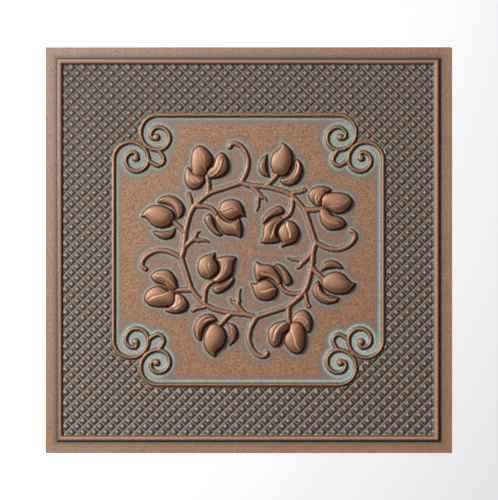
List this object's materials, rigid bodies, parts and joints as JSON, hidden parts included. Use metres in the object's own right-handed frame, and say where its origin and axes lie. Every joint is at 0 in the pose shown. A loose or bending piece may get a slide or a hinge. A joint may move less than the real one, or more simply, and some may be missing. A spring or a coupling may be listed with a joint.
{
  "type": "ceiling tile",
  "caption": "Square embossed ceiling tile: flat flange, round bead, field of pyramid studs, framed panel with corner volutes and a vine wreath.",
  "frame": {"origin": "middle of the flat back, at the height of the back", "axes": "+Z out of the face of the tile, +Y towards the top edge of the pattern, +X to the right as the face is seen"},
  "size_m": [0.6096, 0.6096, 0.0087],
  "materials": {
    "aged_copper": "moulded vinyl sheet painted as aged copper, brown on the high parts with grey-green verdigris round the relief"
  },
  "bodies": {
    "root": {"ceiling_tile": "aged_copper"}
  },
  "joints": []
}
